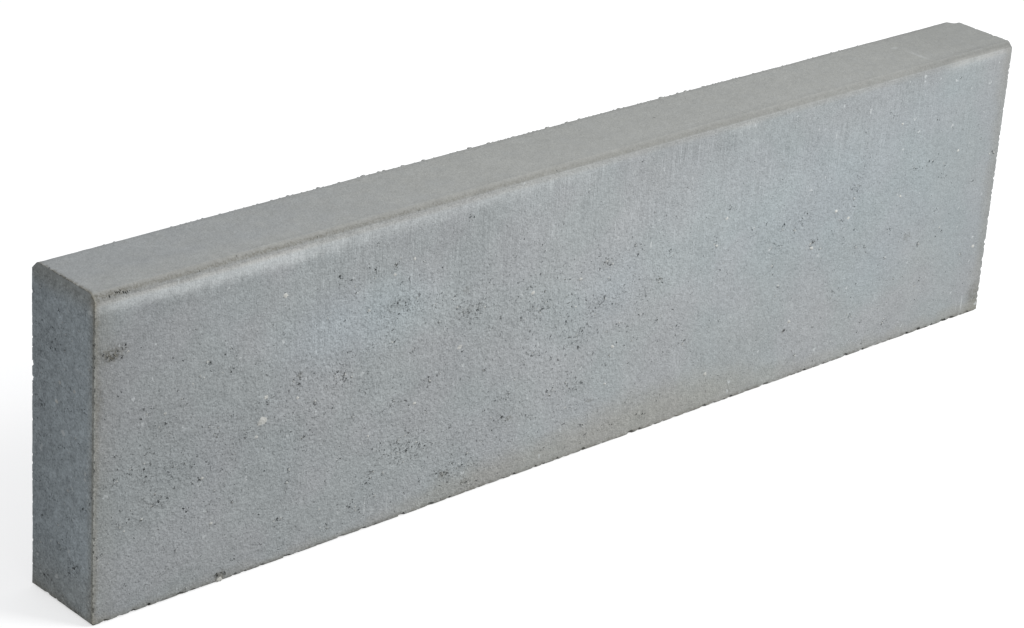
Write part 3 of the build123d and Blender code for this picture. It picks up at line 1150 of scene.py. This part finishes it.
def frontColour(desk, zone):
    place, along, up = zone["place"], zone["along"], zone["up"]
    clouds = spotsOf(desk, zone["straight"], "coolClouds", core=finish["cloudCore"])
    warmth = desk.math("ADD", swung(desk, place, "drift"), shares["warmBase"])
    warmth = desk.math("SUBTRACT", warmth, clouds, clamp=True)
    colour = desk.mixColour(warmth, finish["cool"], finish["warm"])
    hue = span(desk, patches(desk, place, "hue"), "hue")
    tint = desk.mixColour(hue, finish["lilac"], finish["cyan"])
    colour = desk.mixColour(finish["hueShare"], colour, tint)
    # the skin turns warmer close to the bevel
    edge = product(desk, span(desk, up, "warmEdge"), zone["atFront"], span(desk, along, "warmEdgeAlong"))
    colour = desk.mixColour(edge, colour, finish["warmEdge"])
    # tone along the front, partly painted shade towards the near end
    colour = desk.scaleColour(colour, alongStops(desk, zone, "toneAndShadeStops"))
    veil = product(desk, span(desk, up, "veilUp"), span(desk, along, "veilAlong"))
    clouds = spotsOf(desk, zone["straight"], "toneClouds", core=finish["cloudCore"])
    tone = desk.math("MULTIPLY_ADD", veil, shares["veil"], desk.math("ADD", clouds, 1.0))
    return desk.scaleColour(colour, tone)


def topColour(desk, zone):
    place, along, inward = zone["place"], zone["along"], zone["inward"]
    warmth = desk.math("MAXIMUM", span(desk, along, "topWarmAlong"), span(desk, inward, "topWarmFront"))
    warmth = desk.math("ADD", warmth, swung(desk, place, "topWarm"), clamp=True)
    colour = desk.mixColour(warmth, finish["topCool"], finish["topWarm"])
    # painted shade darkens the bevel, which faces the key light, so that it shows no brighter than the top
    flecked = desk.math("ADD", swung(desk, place, "bevelFleck"), 1.0)
    bevelShade = product(desk, alongStops(desk, zone, "bevelShadeStops"), flecked)
    bevelShade = desk.ramp(inward, *spans["bevelBend"], bevelShade, 1.0)
    # the top's tone, with the bevel's painted shade and a painted highlight towards the front edge
    tone = product(desk, alongStops(desk, zone, "topStops"), bevelShade, span(desk, inward, "topFrontGleam"))
    colour = desk.scaleColour(colour, tone)
    chalk = spotsOf(desk, flatPlace(desk, along, inward), "topMarks")
    return desk.mixColour(chalk, colour, finish["pale"])


def baseColour(desk, zone):
    colour = desk.mixColour(zone["top"], frontColour(desk, zone), topColour(desk, zone))
    # the near end gets darker towards the back
    endTone = span(desk, zone["inward"], "endShade")
    endShare = product(desk, zone["near"], span(desk, zone["up"], "endTop"))
    return desk.mixColour(endShare, colour, desk.scaleColour(finish["end"][:3], endTone))


def grainLayers(desk, zone):
    noises = []
    for index, (scale, detail, _) in enumerate(finish["grain"]):
        moved = desk.stretch(zone["place"], plain, [step * index for step in finish["grainStep"]])
        noises.append(desk.noise(moved, scale, detail, finish["grainRough"]))
    return noises


def grainTone(desk, zone, noises):
    layers = [signed(desk, noise, swing) for noise, (_, _, swing) in zip(noises, finish["grain"])]
    sandTone = desk.add("ShaderNodeSeparateColor", {0: zone["sand"].outputs["Color"]}).outputs[0]
    layers.append(signed(desk, sandTone, finish["sandSwing"]))
    calm = product(desk, zone["calm"], span(desk, zone["near"], "nearGrain"))
    tone = desk.math("MULTIPLY_ADD", total(desk, layers), calm, 1.0)
    # the trowelled top is mottled more coarsely
    moved = desk.stretch(zone["place"], plain, finish["mottlePlace"])
    mottle = total(desk, [signed(desk, desk.noise(moved, scale, detail, finish["grainRough"]), swing)
                          for scale, detail, swing in finish["topMottle"]])
    return desk.math("MULTIPLY_ADD", mottle, zone["top"], tone)


def dragLines(desk, zone):  # upright marks of the mould, strongest in the upper third
    fine = signed(desk, patches(desk, zone["place"], "dragFine"), swings["drag"])
    patchy = span(desk, patches(desk, zone["place"], "dragPatch"), "dragPatch")
    height = byStops(desk, zone["up"], tallSide, finish["dragUp"])
    reach = alongStops(desk, zone, "dragAlong")
    return product(desk, fine, patchy, height, reach, inverse(desk, zone["near"]), zone["sides"])


def pastEdge(desk, zone, noise, name):  # how far a noise lies past a limit that follows the openness
    gain, start = poreEdges[name]
    openness = desk.math("MINIMUM", zone["open"], poreEdges["most"])
    return desk.math("SUBTRACT", noise, desk.math("MULTIPLY_ADD", openness, gain, start))


def poreShade(desk, zone, noises):  # painted shade of fine pores where the grain runs low, more of them in open patches
    fine = span(desk, pastEdge(desk, zone, noises[0], "fine"), "finePore")
    coarseNoise = patches(desk, zone["place"], "coarsePore")
    coarse = span(desk, pastEdge(desk, zone, coarseNoise, "coarse"), "coarsePore")
    fine = desk.math("MULTIPLY", fine, shares["finePore"])
    return product(desk, desk.math("MAXIMUM", fine, coarse), zone["sides"])


def coarseGrain(desk, zone):  # broken crevices between coarse grains, painted with shade and sunk in the bump, and a few pale flakes
    inputs = {"Vector": zone["coarse"], "Scale": 1 / finish["grainCell"]}
    gap = desk.add("ShaderNodeTexVoronoi", inputs, feature="DISTANCE_TO_EDGE").outputs["Distance"]
    cell = desk.add("ShaderNodeTexVoronoi", inputs).outputs["Color"]
    chance = desk.add("ShaderNodeSeparateColor", {0: cell}).outputs[1]
    breakNoise = patches(desk, zone["place"], "creviceBreak")
    broken = span(desk, pastEdge(desk, zone, breakNoise, "crevice"), "creviceBreak")
    crevice = product(desk, span(desk, gap, "creviceGap"), broken, zone["sides"])
    flake = product(desk, desk.ramp(chance, *finish["flakeShare"]), span(desk, gap, "flakeGap"),
                    zone["sides"])
    return crevice, flake


def bandMask(desk, zone):  # pale skin and a painted highlight below the arris, where a lip catches the light, with a lower edge that runs down in streaks
    along, up = zone["along"], zone["up"]
    run = desk.math("MULTIPLY", zone["drip"], span(desk, along, "bandRun"))
    foot = desk.math("MULTIPLY_ADD", alongStops(desk, zone, "bandFoot"), *finish["bandHeights"])
    rise = span(desk, desk.math("SUBTRACT", up, desk.math("ADD", foot, run)), "bandRise")
    lowered = desk.math("SUBTRACT", up, span(desk, along, "bandDrop"))
    flaky = span(desk, patches(desk, zone["place"], "bandFlaky"), "bandFlaky")
    brushed = span(desk, patches(desk, zone["place"], "bandBrushed"), "bandBrushed")
    return product(desk, rise, span(desk, lowered, "bandTop"), flaky, brushed,
                   alongStops(desk, zone, "bandStops"), zone["atFront"])


def topBand(desk, zone, colour):
    place, along, up = zone["place"], zone["along"], zone["up"]
    # the pale band, partly a painted highlight
    pale = desk.mixColour(span(desk, up, "bandWarm"), finish["bandPale"], finish["bandWarm"])
    colour = desk.mixColour(zone["band"], colour, pale)
    # beige bevel with a dark line in its lower half
    bevel = product(desk, span(desk, up, "bevelFoot"), span(desk, up, "bevelTop"), zone["atFront"],
                    span(desk, along, "bevelAlong"))
    colour = desk.mixColour(bevel, colour, finish["beige"])
    broken = span(desk, patches(desk, place, "lineBreak"), "lineBreak")
    sway = desk.math("MULTIPLY", swung(desk, place, "lineSway"), span(desk, along, "lineSway"))
    wander = desk.math("ADD", signed(desk, zone["drip"], swings["drip"]), sway)
    offset = desk.math("SUBTRACT", desk.math("SUBTRACT", up, finish["lineUp"]), wander)
    offset = desk.math("ABSOLUTE", offset)
    offset = desk.math("DIVIDE", offset, span(desk, along, "lineWidth"))
    line = product(desk, span(desk, offset, "line"), broken, alongStops(desk, zone, "lineStops"),
                   zone["atFront"])
    return lay(desk, line, "line", colour, "soil")


def footDirt(desk, zone, colour, ragged, fleck):  # brown foot of the front
    tall = desk.math("MULTIPLY", alongStops(desk, zone, "footHeight"), finish["footReach"])
    above = desk.math("DIVIDE", desk.math("MULTIPLY_ADD", ragged, finish["footRagged"], zone["up"]), tall)
    foot = product(desk, span(desk, above, "foot"), alongStops(desk, zone, "footStops"))
    colour = lay(desk, foot, "foot", colour, "footClay")
    return lay(desk, product(desk, span(desk, zone["up"], "footRim"), fleck), "footRim", colour, "soil")


def uprightDirt(desk, zone, colour, ragged, fleck, frayed):  # the two upright edges of the front
    along, up, inward = zone["along"], zone["up"], zone["inward"]
    rimEdge = desk.math("ADD", desk.math("MULTIPLY_ADD", ragged, finish["rimRagged"], along), frayed)
    nearRim = product(desk, span(desk, rimEdge, "nearRim"), zone["front"])
    colour = desk.mixColour(nearRim, colour, finish["clay"])
    warmRim = product(desk, span(desk, desk.math("ADD", along, ragged), "warmRim"), zone["front"])
    colour = desk.mixColour(warmRim, colour, finish["clay"])
    frayedIn, frayedAlong = desk.math("ADD", inward, frayed), desk.math("ADD", along, frayed)
    onEnd = span(desk, along, "arrisAlong")
    arrisEnd = product(desk, onEnd, span(desk, frayedIn, "arrisInward"))
    arrisFront = product(desk, span(desk, frayedAlong, "arrisFront"), zone["front"])
    arris = product(desk, desk.math("MAXIMUM", arrisEnd, arrisFront), fleck, span(desk, up, "arrisUp"))
    colour = lay(desk, arris, "arris", colour, "soil")
    endRim = product(desk, onEnd, span(desk, frayedIn, "endRim"))
    colour = desk.mixColour(endRim, colour, finish["footClay"])
    # soft dark and pale clouds on the near end
    cloud = swung(desk, zone["place"], "endCloud")
    colour = desk.scaleColour(colour, desk.math("MULTIPLY_ADD", cloud, zone["near"], 1.0))
    farRim = product(desk, span(desk, desk.math("SUBTRACT", along, ragged), "farRim"), zone["front"])
    return lay(desk, farRim, "farRim", colour, "clay")


def endDirt(desk, zone, colour, ragged, fleck, frayed):  # top, seam and foot of the near end
    up, near = zone["up"], zone["near"]
    raggedUp = desk.math("MULTIPLY_ADD", ragged, finish["rimRagged"], up)
    brow = product(desk, span(desk, raggedUp, "brow"), near)
    colour = lay(desk, brow, "brow", colour, "clay")
    seam = product(desk, spotsOf(desk, flatPlace(desk, zone["inward"], up), "endSeam"), fleck, near)
    colour = desk.mixColour(seam, colour, finish["pale"])
    sole = product(desk, span(desk, desk.math("ADD", up, ragged), "sole"), near)
    colour = lay(desk, sole, "sole", colour, "footClay")
    crestUp = span(desk, desk.math("MULTIPLY_ADD", frayed, finish["crestFrayed"], up), "crestUp")
    crest = product(desk, crestUp, span(desk, desk.math("ADD", zone["along"], frayed), "crestAlong"),
                    span(desk, patches(desk, zone["place"], "crestPatch"), "crestPatch"))
    return lay(desk, crest, "crest", colour, "soil")


def edgeDirt(desk, zone, colour):
    ragged = swung(desk, zone["place"], "ragged")
    frayed = swung(desk, zone["place"], "frayed")
    fleck = span(desk, patches(desk, zone["place"], "fleck"), "fleck")
    colour = footDirt(desk, zone, colour, ragged, fleck)
    colour = uprightDirt(desk, zone, colour, ragged, fleck, frayed)
    return endDirt(desk, zone, colour, ragged, fleck, frayed)


def frontMarks(desk, zone, colour):
    stain = desk.math("MINIMUM", spotsOf(desk, zone["plane"], "stains"), shares["stainMost"])
    patchy = span(desk, patches(desk, zone["place"], "stainPatch"), "stainPatch")
    colour = desk.mixColour(product(desk, stain, patchy, zone["front"]), colour, finish["soil"])
    streak = spotsOf(desk, zone["straight"], "streaks")
    return desk.mixColour(product(desk, streak, zone["front"]), colour, finish["pale"])


def reliefHeight(desk, zone, noises, crevice):  # rougher in open patches, flatter on the smooth faces
    most, gain, least = relief["open"]
    rise = desk.math("MULTIPLY_ADD", desk.math("MINIMUM", zone["open"], most), gain, least)
    height = desk.math("MULTIPLY_ADD", noises[1], rise, desk.math("MULTIPLY", noises[0], relief["fine"]))
    height = desk.math("MULTIPLY_ADD", zone["sand"].outputs["Distance"], finish["sandRelief"], height)
    height = desk.math("MULTIPLY_ADD", crevice, relief["crevice"], height)
    return desk.math("MULTIPLY", height, zone["calm"])


def concreteMaterial():
    material, desk = newMaterial("pressed_concrete")
    zone = findZones(desk)
    noises = grainLayers(desk, zone)
    pores = poreShade(desk, zone, noises)
    crevice, flake = coarseGrain(desk, zone)
    colour = edgeDirt(desk, zone, topBand(desk, zone, baseColour(desk, zone)))
    colour = frontMarks(desk, zone, colour)
    tone = desk.math("ADD", grainTone(desk, zone, noises), dragLines(desk, zone))
    colour = desk.scaleColour(colour, tone)
    colour = lay(desk, flake, "flake", colour, "pale")
    # painted shade in the pores and crevices
    colour = lay(desk, pores, "pores", colour, "pit")
    colour = lay(desk, crevice, "crevice", colour, "pit")
    # what the mesh says of its own pits and stones: painted shade in the pits, and the stones' tone
    pit = desk.add("ShaderNodeAttribute", attribute_name="pore").outputs["Fac"]
    stone = desk.add("ShaderNodeAttribute", attribute_name="stone").outputs["Fac"]
    colour = lay(desk, pit, "pit", colour, "pit")
    stoneColour = desk.mixColour(stone, finish["stoneGrey"], finish["stonePale"])
    colour = desk.mixColour(span(desk, stone, "stone"), colour, stoneColour)
    height = reliefHeight(desk, zone, noises, crevice)
    bump = desk.add("ShaderNodeBump", {"Strength": 1.0, "Distance": relief["depth"], "Height": height})
    roughness = span(desk, zone["top"], "roughness")
    shader = desk.add("ShaderNodeBsdfPrincipled", {"Base Color": colour, "Roughness": roughness,
                                                   "Specular IOR Level": relief["gloss"],
                                                   "Normal": bump.outputs[0]})
    desk.add("ShaderNodeOutputMaterial", {"Surface": shader.outputs[0]})
    return material


block.data.materials.clear()
block.data.materials.append(concreteMaterial())
block.data.polygons.foreach_set("material_index", np.zeros(len(block.data.polygons), dtype=np.int32))
print("concrete finish made")

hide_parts("kerb_stone")
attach(block, "root")

print("done")
